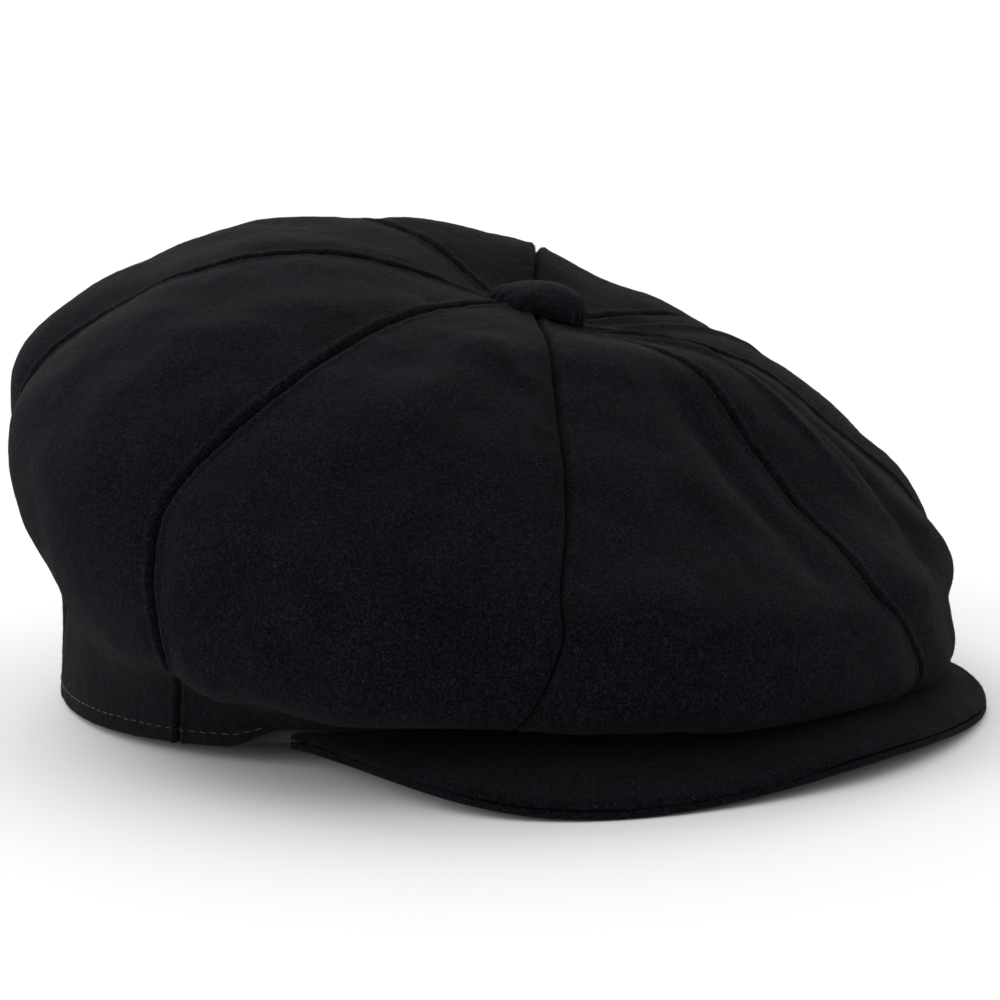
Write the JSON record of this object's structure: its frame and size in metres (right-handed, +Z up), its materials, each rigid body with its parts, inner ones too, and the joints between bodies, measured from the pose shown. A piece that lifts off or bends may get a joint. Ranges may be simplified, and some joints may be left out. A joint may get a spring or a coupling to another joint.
{
  "type": "newsboy cap",
  "caption": "Soft full-crowned wool cap with gores meeting under a covered button, a lined inside, a sweatband and a short stiff visor under the overhanging front.",
  "frame": {"origin": "centre of the head opening, on the plane that the back hem and the visor's sides rest on", "axes": "+Z up, -Y towards the visor and the front, +X towards the wearer's left"},
  "size_m": [0.2264, 0.2604, 0.1213],
  "materials": {
    "wool": "brushed near-black wool melton with a short fuzzy nap",
    "lining": "smooth black satin",
    "sweatband": "ribbed black cotton tape",
    "thread": "spun black polyester thread",
    "visor_board": "plain flexible polyethylene sheet",
    "button_metal": "stamped shell",
    "button_plate": "moulded button back"
  },
  "bodies": {
    "root": {"gore_front_left": "wool", "gore_left_front": "wool", "gore_left_rear": "wool", "gore_rear_left": "wool", "gore_rear_right": "wool", "gore_right_rear": "wool", "gore_right_front": "wool", "gore_front_right": "wool", "lining_front_left": "lining", "lining_left_front": "lining", "lining_left_rear": "lining", "lining_rear_left": "lining", "lining_rear_right": "lining", "lining_right_rear": "lining", "lining_right_front": "lining", "lining_front_right": "lining", "sweatband": "sweatband", "sweatband_stitching": "thread", "hem_topstitching": "thread", "visor_under_cloth": "wool", "visor_board": "visor_board", "visor_seam_allowance": "wool", "visor_top_cloth": "wool", "button_cloth_cover": "wool", "button_shell": "button_metal", "button_back_plate": "button_plate", "button_shank_thread": "thread"}
  },
  "joints": []
}
